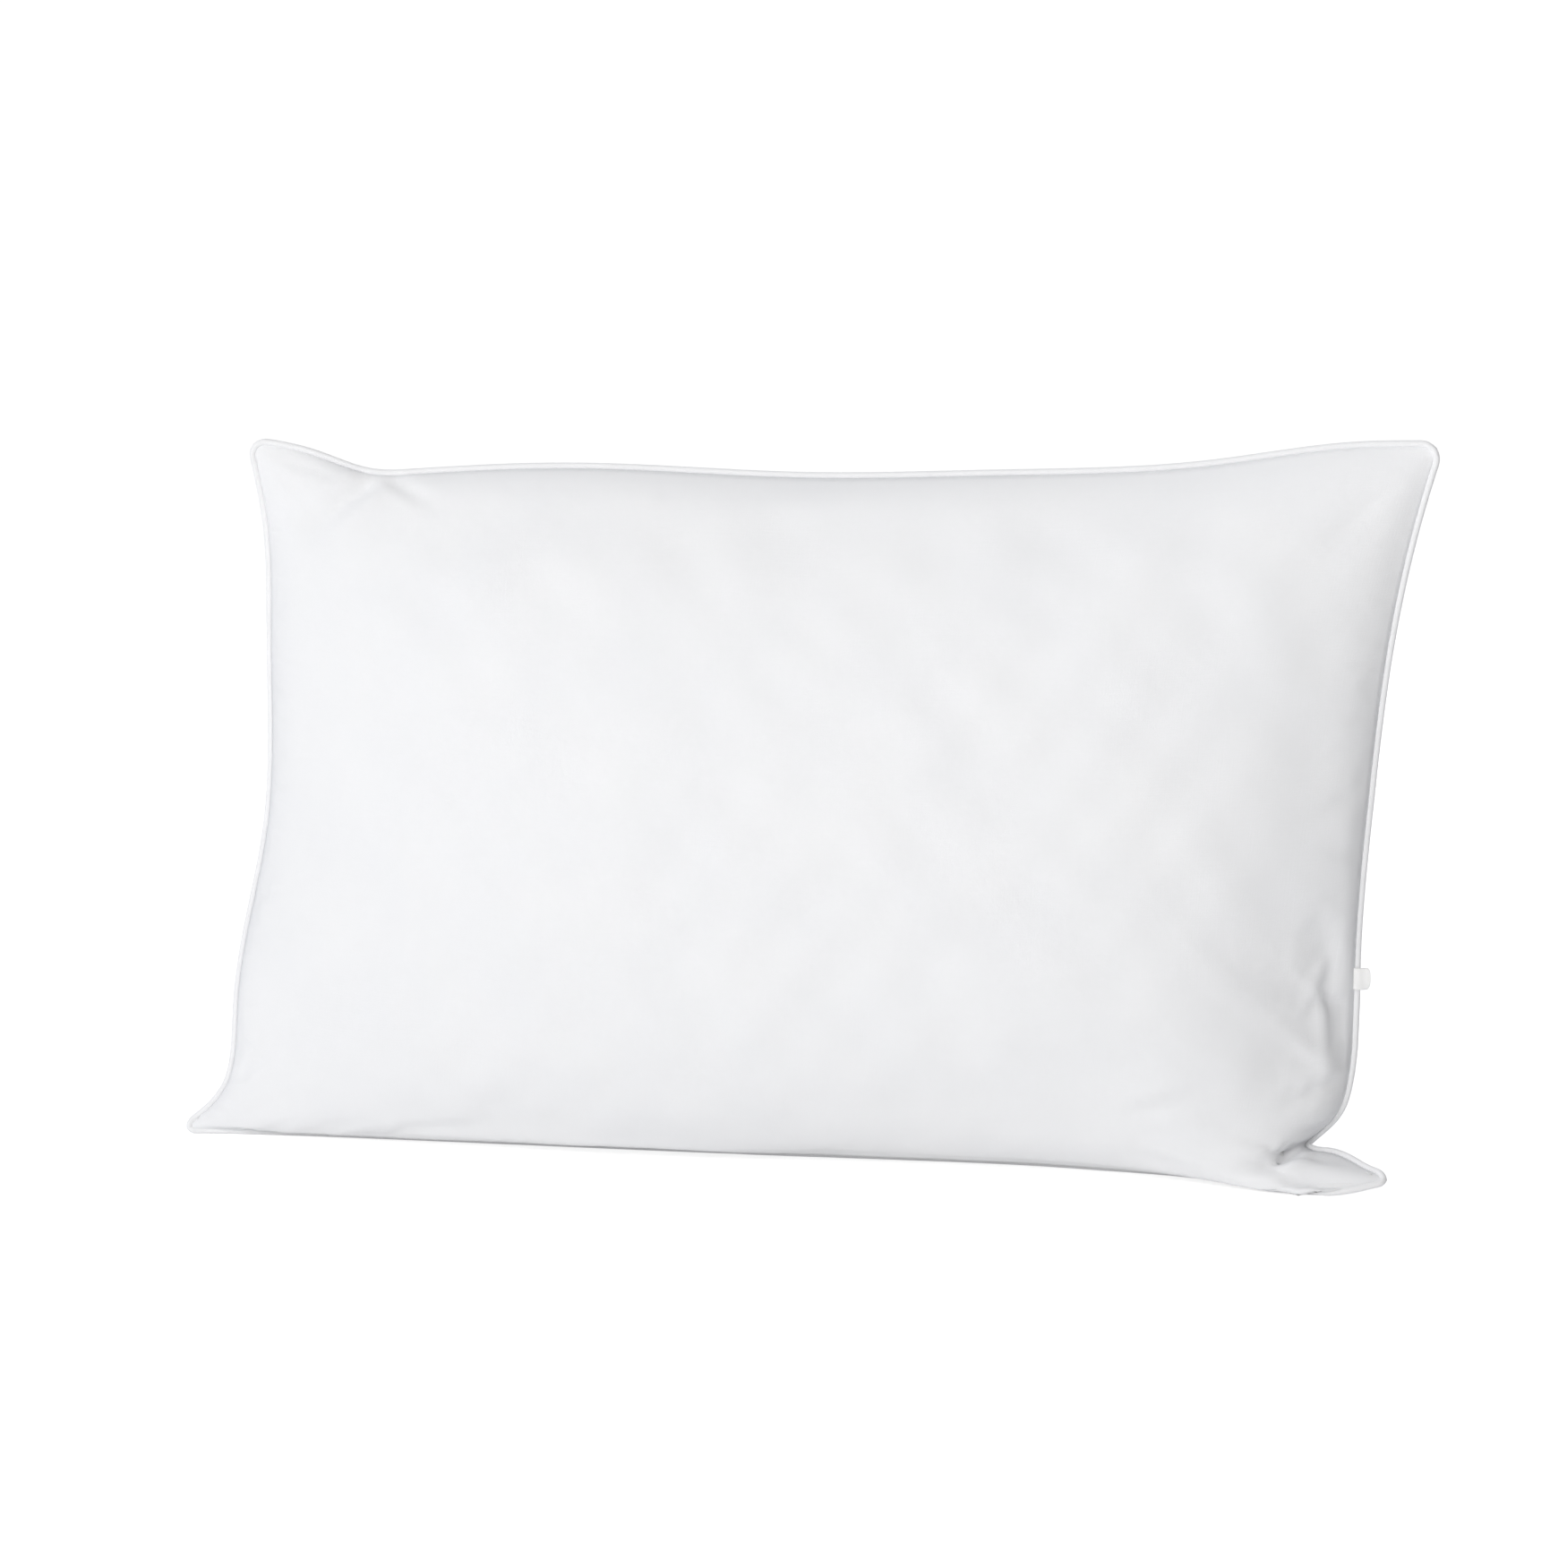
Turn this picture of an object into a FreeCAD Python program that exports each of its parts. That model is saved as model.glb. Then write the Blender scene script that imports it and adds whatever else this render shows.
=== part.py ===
"""Bed pillow standing on one long edge: a piped two-panel ticking case round a loose fibre fill.

Units are millimetres. +X runs along the pillow's length, +Y towards its back and +Z up. The origin is
on the floor, under the middle of the pillow. The seam that joins the two panels lies in the plane
Y = 0, and the padded form is the same on both sides of it.
"""

import FreeCAD, Part
import math
import os

from FreeCAD import Vector

# ---- the pillow as it stands --------------------------------------------------------------------
EAR_LENGTH = 730.0        # along the bottom, between the ears' corners before they are rounded
TOP_EAR_LENGTH = 712.0    # the same along the top, where the ears stand up
BODY_LENGTH = 670.0       # side seam to side seam, half way up
MID_HEIGHT = 402.0        # floor to top seam, half way along
EAR_HEIGHT = 427.0        # floor to the corner of a top ear before it is rounded
LOFT = 174.0              # thickness, front to back, at its fullest
SLOUCH = 36.0             # how far the top has slid along X, measured against the bottom
SAG = 34.0                # how far the rounded underside is pressed flat by the floor
BELLY = 0.28              # share by which the fill has sunk: 0 is the same above and below
EAR_FLARE = 4.0           # how late the sides flare out into the ears: higher is later
TOP_DIP = 2.4             # how late the top seam rises to the ears: higher is later

# ---- case, piping and threads -------------------------------------------------------------------
TICKING = 0.8             # cloth thickness of a panel
ALLOWANCE = 7.5           # cloth turned inside, from the middle of the piping
PIPING_DIAMETER = 4.0     # over the tape
TAPE_WALL = 0.4           # thickness of the tape round its cord
TAPE_TAILS = 0.8          # thickness of the tape's two tails together, between the panels
CORD_CLEARANCE = 0.3      # between the filler cord and the tape round it
THREAD_DIAMETER = 0.5     # seam thread and closing thread
THREAD_INSET = 3.0        # seam thread, from the middle of the piping
CLOSING_INSET = 5.5       # closing thread, from the middle of the piping
OVERLOCK_DIAMETER = 2.0   # bead of overlock loops along the raw edges
OVERLOCK_GAP = 0.1        # between that bead and the raw edges
GAP_LENGTH = 190.0        # filling gap in a side seam, closed last
GAP_HEIGHT = 220.0        # middle of the gap above the floor

# ---- fill and label -----------------------------------------------------------------------------
FILL_CLEARANCE = 0.3      # between the fill and everything round it
LABEL_HEIGHT = 108.0      # middle of the label above the floor
LABEL_WIDTH = 14.0        # along the seam
LABEL_REACH = 10.5        # from the middle of the piping out to the folded end
RIBBON = 0.25             # one layer of the label's ribbon
RIBBON_GAP = 0.2          # between its two layers
LABEL_CLEARANCE = 0.25    # between the ribbon and the piping it is led round

# ---- how finely the form is laid out --------------------------------------------------------------
COLUMNS = 23              # points along the length
ROWS = 17                 # points up a panel
EDGE_ANGLE = 10.0         # degrees of the rounded section left off at the seam
FLOOR_FADE = 8            # how late the sagging underside rises to the ears
TOP_RUNS = 14             # runs in the top seam
SIDE_RUNS = 8             # runs in a side seam
EAR_SPREAD = 60.0         # degrees: how much closer together the runs are towards the ears
SHARP_TURN = 35.0         # degrees: a larger turn of the seam is an ear's corner

PIPING_RADIUS = PIPING_DIAMETER / 2
RIM = PIPING_RADIUS / 2   # half the form's thickness at the seam, hidden inside the piping
SEAM_STACK = TAPE_TAILS + 2 * TICKING
LABEL_ROOT = ALLOWANCE - 0.5         # from the middle of the piping in to the label's sewn end
OVERLOCK_INSET = ALLOWANCE + OVERLOCK_GAP + OVERLOCK_DIAMETER / 2
EAR_ROUND = OVERLOCK_INSET + OVERLOCK_DIAMETER / 2 + 0.6    # so the loops still turn the corner
FUZZ = 0.002              # surfaces nearer than this count as touching when solids are joined
FAR = 1000.0              # larger than the pillow in every direction


def spread(runs):
    """Evenly spaced numbers from -1 to 1, with this many runs between them."""
    return [2.0 * i / runs - 1.0 for i in range(runs + 1)]


def slide(z):
    """Distance along X that the slouch moves a point at height z."""
    return SLOUCH * (z / EAR_HEIGHT - 0.5)


def outline(u, w, grow):
    """Point (x, z) of the seam plane, with u and w from -1 to 1 along the length and up the height.

    The sides are drawn in between the ears, the top dips between them, and the underside hangs
    below the floor by SAG. With grow at 0 the outline is the middle of the piping.
    """
    ear = EAR_LENGTH if w < 0 else TOP_EAR_LENGTH
    length = BODY_LENGTH + (ear - BODY_LENGTH) * abs(w) ** EAR_FLARE
    rise = (EAR_HEIGHT - MID_HEIGHT) * abs(u) ** TOP_DIP
    top = MID_HEIGHT + rise - PIPING_RADIUS + grow
    bottom = PIPING_RADIUS - SAG * (1.0 - abs(u) ** FLOOR_FADE) - grow
    z = bottom + (top - bottom) * (w + 1.0) / 2.0
    return u * (length / 2 - PIPING_RADIUS + grow) + slide(z), z


def arch(a):
    """Place along a rounded arch and its height there, for a from -1 to 1.

    The arch is a half circle with EDGE_ANGLE left off each end, so it starts at a steep edge.
    Both numbers are shares: the place runs from -1 to 1 and the height from 0 to 1.
    """
    reach = math.radians(90.0 - EDGE_ANGLE)
    place = math.sin(a * reach) / math.sin(reach)
    height = (math.cos(a * reach) - math.cos(reach)) / (1.0 - math.cos(reach))
    return place, height


def sunk(b):
    """Share of the loft at place b up the height, with the fill sunk towards the floor."""
    w, height = arch(b)
    return height * (1.0 - BELLY * w)


FULLEST = max(sunk(b) for b in spread(200))


def form(inset):
    """Closed padded form, smaller by inset than the outside of the case on every side."""
    rim = max(RIM - inset, 0.1)
    half = LOFT / 2 - inset
    grid = []
    for a in spread(COLUMNS - 1):
        u, along = arch(a)
        row = []
        for b in spread(ROWS - 1):
            x, z = outline(u, arch(b)[0], -inset)
            row.append(Vector(x, -rim - (half - rim) * along * sunk(b) / FULLEST, z))
        grid.append(row)
    surface = Part.BSplineSurface()
    surface.interpolate(grid)
    front = surface.toShape()
    back = front.mirror(Vector(0, 0, 0), Vector(0, 1, 0))
    sides = [Part.makeRuledSurface(f, b) for f, b in zip(front.Edges, back.Edges)]
    shell = Part.Shell([front, back] + sides)
    shell.sewShape()
    solid = Part.Solid(shell)
    if solid.Volume < 0:
        solid.reverse()
    return solid


def above(z):
    """Everything above height z."""
    return Part.makeBox(2 * FAR, 2 * FAR, FAR, Vector(-FAR, -FAR, z))


def in_front(distance):
    """Everything in front of the seam plane by at least a distance."""
    return Part.makeBox(2 * FAR, FAR, 2 * FAR, Vector(-FAR, -FAR - distance, -FAR))


def towards_ears(runs):
    """Places from -1 to 1 along a side of the seam, closer together towards its two ears."""
    reach = math.radians(EAR_SPREAD)
    return [math.sin(s * reach) / math.sin(reach) for s in spread(runs)]


def seam_points():
    """Corner points of the seam as (x, z) pairs, anticlockwise from the bottom right ear.

    Its bottom run lies on the floor, so it is straight and a piping radius up.
    """
    sides = towards_ears(SIDE_RUNS)
    tops = towards_ears(TOP_RUNS)
    right = [outline(1.0, w, 0.0) for w in sides]
    top = [outline(u, 1.0, 0.0) for u in reversed(tops[1:-1])]
    left = [outline(-1.0, w, 0.0) for w in reversed(sides)]
    return right + top + left


def arc_at(before, here, after):
    """Arc that rounds the corner at here, as its start, middle and end.

    It is as large as its two runs allow, or EAR_ROUND where the seam turns sharply.
    """
    into = (here - before).normalize()
    out = (after - here).normalize()
    turn = into.getAngle(out)
    room = 0.45 * min((here - before).Length, (after - here).Length)
    radius = room / math.tan(turn / 2)
    if turn > math.radians(SHARP_TURN):
        radius = min(radius, EAR_ROUND)
    step = radius * math.tan(turn / 2)
    inward = (out - into).normalize()
    middle = here + inward * (radius / math.cos(turn / 2) - radius)
    return here - into * step, middle, here + out * step


def seam_path():
    """Closed wire along the middle of the piping: straight runs joined by tangent arcs."""
    points = [Vector(x, 0, z) for x, z in seam_points()]
    count = len(points)
    arcs = [arc_at(points[i - 1], points[i], points[(i + 1) % count]) for i in range(count)]
    edges = []
    for i, (start, middle, end) in enumerate(arcs):
        edges.append(Part.Arc(start, middle, end).toShape())
        edges.append(Part.LineSegment(end, arcs[(i + 1) % count][0]).toShape())
    return Part.Wire(edges)


def inside(path, distance):
    """The seam path moved inward by a distance."""
    return path.makeOffset2D(-distance)


def band(path, width, thickness):
    """Flat strip inside the seam, as wide as stated and in the middle of the seam plane."""
    strip = Part.Face(path).cut(Part.Face(inside(path, width)))
    strip.translate(Vector(0, -thickness / 2, 0))
    return strip.extrude(Vector(0, thickness, 0))


def bar(path, diameter):
    """Round bar along a path."""
    first = path.OrderedEdges[0]
    start = first.valueAt(first.FirstParameter)
    direction = first.tangentAt(first.FirstParameter)
    ring = Part.Wire(Part.makeCircle(diameter / 2, start, direction))
    return path.makePipeShell([ring], True, False)


def under_piping(depth):
    """Box below the bottom run of the piping, half as deep as it is across the seam plane."""
    low_left, low_right = outline(-1.0, -1.0, 0.0), outline(1.0, -1.0, 0.0)
    start = low_left[0] + 2 * EAR_ROUND
    length = low_right[0] - 2 * EAR_ROUND - start
    return Part.makeBox(length, depth, PIPING_DIAMETER, Vector(start, -depth / 2, -PIPING_RADIUS))


def within(path):
    """Room for the case: everything above the floor and inside the middle of the piping."""
    face = Part.Face(path)
    face.translate(Vector(0, -FAR, 0))
    room = face.extrude(Vector(0, 2 * FAR, 0)).fuse(under_piping(FAR))
    return room.common(above(0.0))


def front_half(path, bead):
    """Front panel without its label: half of the cloth, folded in round the piping.

    The cloth is the form less its cavity, flat where it lies on the floor. Its fold runs on
    as a flat allowance inside.
    """
    cloth = form(0.0).cut(form(TICKING).common(above(TICKING)))
    fold = bar(path, PIPING_DIAMETER + 2 * TICKING)
    turned = band(path, ALLOWANCE, SEAM_STACK)
    whole = cloth.fuse([fold, turned], FUZZ).common(within(path), FUZZ)
    half = whole.common(in_front(TAPE_TAILS / 2), FUZZ)
    half = half.cut([bead, under_piping(PIPING_DIAMETER)], FUZZ)
    return max(half.Solids, key=lambda solid: solid.Volume)


def gap_run(path, distance):
    """The part of a line inside the seam that closes the filling gap, up the right side."""
    low = GAP_HEIGHT - GAP_LENGTH / 2
    box = Part.makeBox(FAR, 2.0, GAP_LENGTH, Vector(0, -1.0, low))
    return Part.Wire(Part.sortEdges(inside(path, distance).common(box).Edges)[0])


def tape(path, bead, threads):
    """Fabric tape: a tube round the filler cord, with two tails sewn flat between the panels."""
    tails = band(path, ALLOWANCE, TAPE_TAILS)
    core = bar(path, PIPING_DIAMETER - 2 * TAPE_WALL)
    return bead.fuse(tails).cut([core] + threads)


def fill(path):
    """Loose fibre, clear of the cloth, the seam allowance and the overlock loops."""
    inset = TICKING + FILL_CLEARANCE
    body = form(inset).common(above(inset))
    depth = OVERLOCK_INSET + OVERLOCK_DIAMETER / 2 + FILL_CLEARANCE
    slab = band(path, depth, SEAM_STACK + 2 * FILL_CLEARANCE)
    round_piping = bar(path, PIPING_DIAMETER + 2 * inset)
    body = body.cut([slab, round_piping], FUZZ)
    return max(body.Solids, key=lambda solid: solid.Volume)


def label_frame(path):
    """Placement at the label's place on the right side seam: its X out, its Z up the seam."""
    line = Part.makeLine(Vector(0, 0, LABEL_HEIGHT), Vector(FAR, 0, LABEL_HEIGHT))
    distance, pairs, info = path.distToShape(line)
    place = pairs[0][0]
    run = min(path.Edges, key=lambda edge: edge.distToShape(Part.Vertex(place))[0])
    up = run.tangentAt(run.Curve.parameter(place))
    if up.z < 0:
        up = up.negative()
    turn = FreeCAD.Rotation(Vector(0, 0, 1), up)
    return FreeCAD.Placement(place, turn)


def label(path):
    """Folded ribbon, sewn in beside the front allowance and led out round the piping.

    It is one flat piece as wide as LABEL_WIDTH, so its profile is drawn across the seam.
    """
    pair = 2 * RIBBON + RIBBON_GAP
    near = PIPING_RADIUS + LABEL_CLEARANCE
    tail = TAPE_TAILS / 2
    low = Vector(0, 0, -LABEL_WIDTH / 2)

    def block(x, y, length, thick):
        return Part.makeBox(length, thick, LABEL_WIDTH, low + Vector(x, y, 0))

    root = block(-LABEL_ROOT, -tail - 2 * RIBBON, LABEL_ROOT - near, 2 * RIBBON)
    ring = Part.makeCylinder(near + pair, LABEL_WIDTH, low).cut(Part.makeCylinder(near, LABEL_WIDTH, low))
    wrap = ring.common(block(-2 * near, -2 * near, 2 * near, 2 * near - tail))
    flag = block(0, -near - pair, LABEL_REACH, pair)
    slot = block(near, -near - RIBBON - RIBBON_GAP, LABEL_REACH - near - RIBBON, RIBBON_GAP)
    ribbon = wrap.fuse([root, flag]).cut(slot)
    ribbon.Placement = label_frame(path)
    return ribbon


def pieces():
    """Every sub-part, by the name of its node."""
    path = seam_path()
    bead = bar(path, PIPING_DIAMETER)
    seam = bar(inside(path, THREAD_INSET), THREAD_DIAMETER)
    closing = bar(gap_run(path, CLOSING_INSET), THREAD_DIAMETER)
    ribbon = label(path)
    half = front_half(path, bead)
    return {
        "front_panel": half.cut(ribbon),
        "back_panel": half.mirror(Vector(0, 0, 0), Vector(0, 1, 0)),
        "piping_tape": tape(path, bead, [seam, closing]),
        "piping_cord": bar(path, PIPING_DIAMETER - 2 * TAPE_WALL - 2 * CORD_CLEARANCE),
        "seam_thread": seam,
        "closing_thread": closing,
        "overlock_thread": bar(inside(path, OVERLOCK_INSET), OVERLOCK_DIAMETER),
        "fibre_fill": fill(path),
        "care_label": ribbon,
    }


def main():
    """Write one STEP file per sub-part, with the pillow centred over the origin."""
    os.makedirs("parts", exist_ok=True)
    box = seam_path().BoundBox
    middle = (box.XMin + box.XMax) / 2
    for name, shape in pieces().items():
        shape.translate(Vector(-middle, 0, 0))
        shape.exportStep("parts/" + name + ".step")
        print(f"{name}: {len(shape.Solids)} solid, valid {shape.isValid()}, {shape.Volume / 1000:.2f} cm3")


main()
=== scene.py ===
"""A white bed pillow with a piped seam, standing on one long side.

The case is two cotton panels cut flat and sewn together round a piping.  The panels are
blown up by a cloth simulation while the seam is held softly on its own line in space.
The piping, the threads, the filling and the care label then follow the simulated cloth.
"""

import logging
import math
from dataclasses import dataclass, field
from enum import Enum

import bpy
import numpy as np
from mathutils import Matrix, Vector


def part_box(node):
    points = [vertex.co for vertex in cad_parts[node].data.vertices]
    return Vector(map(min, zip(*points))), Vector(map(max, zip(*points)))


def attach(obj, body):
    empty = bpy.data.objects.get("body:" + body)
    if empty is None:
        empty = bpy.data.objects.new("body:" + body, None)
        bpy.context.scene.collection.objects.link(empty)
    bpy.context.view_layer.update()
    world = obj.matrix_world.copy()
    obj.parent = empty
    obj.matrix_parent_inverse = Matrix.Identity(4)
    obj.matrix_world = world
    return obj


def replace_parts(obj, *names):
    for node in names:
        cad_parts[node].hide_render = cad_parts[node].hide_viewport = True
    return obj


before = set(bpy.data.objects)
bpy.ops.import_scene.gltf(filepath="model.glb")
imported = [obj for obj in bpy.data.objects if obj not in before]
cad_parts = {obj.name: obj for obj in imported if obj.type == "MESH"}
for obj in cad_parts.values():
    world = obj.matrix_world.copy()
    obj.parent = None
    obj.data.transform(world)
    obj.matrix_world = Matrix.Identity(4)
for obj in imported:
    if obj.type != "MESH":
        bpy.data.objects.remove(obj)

LOG = logging.getLogger("bed_pillow")
MM = 0.001
FLOOR_GAP = 0.00005     # metres: no piece comes nearer to the floor
Points = tuple[tuple[float, float, float], ...]


class Slot(Enum):
    """Material slots of the record; the pieces here take their finish from the finishes below, not from
    these.
    """

    TICKING = "ticking"
    PIPING = "piping_fabric"
    CORD = "filler_cord"
    THREAD = "thread"
    FIBRE = "fibre"
    RIBBON = "label_ribbon"


class Side(Enum):
    """The two faces of the case, by the sign of Y that each bulges to."""

    FRONT = -1.0
    BACK = 1.0


# ---------------------------------------------------------------- numbers on whole arrays


def unit(rows: np.ndarray) -> np.ndarray:
    """Vectors divided by their own lengths, along the last axis."""
    return rows / np.maximum(np.linalg.norm(rows, axis=-1, keepdims=True), 1e-12)


def ease(x: np.ndarray) -> np.ndarray:
    """Smooth step from 0 to 1: 3x^2 - 2x^3 with x held between 0 and 1."""
    x = np.clip(x, 0.0, 1.0)
    return x * x * (3.0 - 2.0 * x)


def spline_bends(knots: np.ndarray, values: np.ndarray) -> np.ndarray:
    """Second derivatives of the natural cubic spline through values at the knots.

    They solve the usual tridiagonal system, in which the slope is continuous at every knot
    and the curve is straight at both ends.

    Args:
        knots: Rising knot positions, n of them.
        values: The n rows that the spline passes through.

    Returns:
        One row of second derivatives for each knot.
    """
    step = np.diff(knots)
    n = len(knots)
    rows = np.arange(1, n - 1)
    system = np.eye(n)
    system[rows, rows - 1] = step[:-1]
    system[rows, rows] = 2.0 * (step[:-1] + step[1:])
    system[rows, rows + 1] = step[1:]
    slope = np.diff(values, axis=0) / step[:, None]
    right = np.zeros_like(values)
    right[1:-1] = 6.0 * np.diff(slope, axis=0)
    return np.linalg.solve(system, right)


def spline_at(knots: np.ndarray, values: np.ndarray, at: np.ndarray) -> np.ndarray:
    """Natural cubic spline through values at the knots, read at other positions.

    Between two knots it is a*p + b*q + ((a^3 - a)*m + (b^3 - b)*k) * h^2 / 6, where a and b
    are the shares of the two knots, p and q their values, and m and k their second derivatives.

    Args:
        knots: Rising knot positions.
        values: One row for each knot.
        at: Positions to read.

    Returns:
        One row for each position.
    """
    bends = spline_bends(knots, values)
    low = np.clip(np.searchsorted(knots, at, side="right") - 1, 0, len(knots) - 2)
    h = np.diff(knots)[low][:, None]
    a = (knots[low + 1] - at)[:, None] / h
    b = 1.0 - a
    curve = (a**3 - a) * bends[low] + (b**3 - b) * bends[low + 1]
    return a * values[low] + b * values[low + 1] + curve * h**2 / 6.0


def refine(grid: np.ndarray, columns: int, rows: int) -> np.ndarray:
    """A grid of points read again at another number of columns and rows, along cubic splines.

    Args:
        grid: Points, shaped (columns, rows, k).
        columns: New count along the first axis.
        rows: New count along the second axis.

    Returns:
        Points, shaped (columns, rows, k).
    """
    across, up, k = grid.shape
    first = spline_at(np.linspace(0, 1, across), grid.reshape(across, -1), np.linspace(0, 1, columns))
    first = first.reshape(columns, up, k).transpose(1, 0, 2).reshape(up, -1)
    second = spline_at(np.linspace(0, 1, up), first, np.linspace(0, 1, rows))
    return second.reshape(rows, columns, k).transpose(1, 0, 2)


def grid_normals(grid: np.ndarray) -> np.ndarray:
    """Unit normals of a grid: its slope along the columns crossed with its slope along the rows."""
    return unit(np.cross(np.gradient(grid, axis=0), np.gradient(grid, axis=1)))


def grid_quads(index: np.ndarray) -> np.ndarray:
    """Four-sided faces between neighbouring entries of a grid of vertex numbers."""
    corners = (index[:-1, :-1], index[1:, :-1], index[1:, 1:], index[:-1, 1:])
    return np.stack(corners, axis=-1).reshape(-1, 4)


def rim_of(index: np.ndarray) -> np.ndarray:
    """Entries round the edge of a grid, once each: bottom, right, top, then left."""
    return np.concatenate([index[:-1, 0], index[-1, :-1], index[:0:-1, -1], index[0, :0:-1]])


def rim_grid(grid: np.ndarray) -> np.ndarray:
    """Points round the edge of a grid of points, in the same order as rim_of."""
    return grid.reshape(-1, 3)[rim_of(np.arange(grid.shape[0] * grid.shape[1]).reshape(grid.shape[:2]))]


def join_rims(one: np.ndarray, other: np.ndarray) -> np.ndarray:
    """Four-sided faces of the strip between two closed rings of vertex numbers."""
    return np.stack([one, np.roll(one, -1), np.roll(other, -1), other], axis=-1)


def smooth_ring(rows: np.ndarray, reach: int) -> np.ndarray:
    """Running mean of a closed ring of vectors over reach neighbours on either side."""
    shifted = [np.roll(rows, k, axis=0) for k in range(-reach, reach + 1)]
    return np.mean(shifted, axis=0)


def run_along(points: np.ndarray) -> np.ndarray:
    """Distance of each point of a line from its first point, along the line."""
    return np.concatenate([[0.0], np.cumsum(np.linalg.norm(np.diff(points, axis=0), axis=1))])


def read_line(at: np.ndarray, distance: np.ndarray, rows: np.ndarray) -> np.ndarray:
    """Rows of three numbers given at rising distances, read in line at other distances."""
    return np.stack([np.interp(at, distance, rows[:, k]) for k in range(3)], axis=-1)


def volume(points: np.ndarray, quads: np.ndarray) -> float:
    """Signed volume inside quads: the sum of a . (b x c) / 6 over both halves of each.

    Args:
        points: Vertices, one row each.
        quads: Four vertex numbers for each face.

    Returns:
        The volume, negative when the faces turn inward.
    """
    a, b, c, d = (points[quads[:, k]] for k in range(4))
    halves = np.cross(b, c) + np.cross(c, d)
    return float(np.einsum("ij,ij->", a, halves) / 6.0)


def solid(name: str, points: np.ndarray, quads: np.ndarray,
          cloth: np.ndarray | None = None) -> bpy.types.Object:
    """A closed smooth mesh with its faces turned outward and no point below the floor.

    Args:
        name: Name of the piece.
        points: Vertices in metres, in the frame of the CAD.
        quads: Four vertex numbers for each face.
        cloth: Two coordinates in metres for each vertex, laid along the fabric, if it has any.

    Returns:
        The new object, at the origin.
    """
    points = np.column_stack([points[:, :2], np.maximum(points[:, 2], FLOOR_GAP)])
    if volume(points, quads) < 0.0:
        quads = quads[:, ::-1]
    mesh = bpy.data.meshes.new(name)
    mesh.from_pydata(points.tolist(), [], quads.tolist())
    if cloth is not None:
        layer = mesh.uv_layers.new(name="cloth")
        layer.data.foreach_set("uv", cloth[quads.ravel()].astype(np.float32).ravel())
    mesh.validate()
    mesh.shade_smooth()
    piece = bpy.data.objects.new(name, mesh)
    bpy.context.scene.collection.objects.link(piece)
    return piece


def sweep(centre: np.ndarray, out: np.ndarray, side: np.ndarray, profile: np.ndarray, closed: bool
          ) -> tuple[np.ndarray, np.ndarray]:
    """A profile carried along a line: point + out * x + side * y for each profile point (x, y).

    Args:
        centre: Points of the line.
        out: First direction of the section at each point.
        side: Second direction of the section at each point.
        profile: Closed outline of the section, one (x, y) row for each corner, or one outline
            for each point of the line.
        closed: Whether the line returns to its start; if not, the two ends are capped.

    Returns:
        The vertices and the four-sided faces.
    """
    section = np.broadcast_to(profile, (len(centre), *profile.shape[-2:]))
    skin = centre[:, None] + out[:, None] * section[..., :1] + side[:, None] * section[..., 1:]
    n, m = skin.shape[:2]
    index = np.arange(n * m).reshape(n, m)
    wrapped = np.concatenate([index, index[:, :1]], axis=1)
    if closed:
        wrapped = np.concatenate([wrapped, wrapped[:1]], axis=0)
        return skin.reshape(-1, 3), grid_quads(wrapped)
    half = m // 2
    fold = np.arange(half - 1)
    cap = np.stack([fold, fold + 1, m - 2 - fold, m - 1 - fold], axis=-1)
    ends = [index[0][cap], index[-1][cap][:, ::-1]]
    return skin.reshape(-1, 3), np.concatenate([grid_quads(wrapped), *ends])


def circle(radius: float, corners: int) -> np.ndarray:
    """Corners of a round section: radius times cosine and sine of even steps."""
    turn = np.linspace(0.0, 2.0 * np.pi, corners, endpoint=False)
    return radius * np.stack([np.cos(turn), np.sin(turn)], axis=-1)


# ---------------------------------------------------------------- shader nodes


class Maths:
    """A number socket that can stand in Python sums, which then add Math nodes."""

    def __init__(self, bench: "Bench", socket: bpy.types.NodeSocket) -> None:
        """Keep the socket and the bench that its nodes are made on."""
        self.bench = bench
        self.socket = socket

    def _do(self, kind: str, first: object, second: object) -> "Maths":
        """One Math node of the given kind."""
        return self.bench.node("ShaderNodeMath", {"operation": kind}, {0: first, 1: second})

    def __add__(self, other: object) -> "Maths":
        """Sum."""
        return self._do("ADD", self, other)

    __radd__ = __add__

    def __mul__(self, other: object) -> "Maths":
        """Product."""
        return self._do("MULTIPLY", self, other)

    __rmul__ = __mul__

    def __sub__(self, other: object) -> "Maths":
        """Difference."""
        return self._do("SUBTRACT", self, other)

    def __rsub__(self, other: object) -> "Maths":
        """Difference from a number."""
        return self._do("SUBTRACT", other, self)

    def wave(self) -> "Maths":
        """Sine of the value."""
        return self._do("SINE", self, 0.0)


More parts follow.
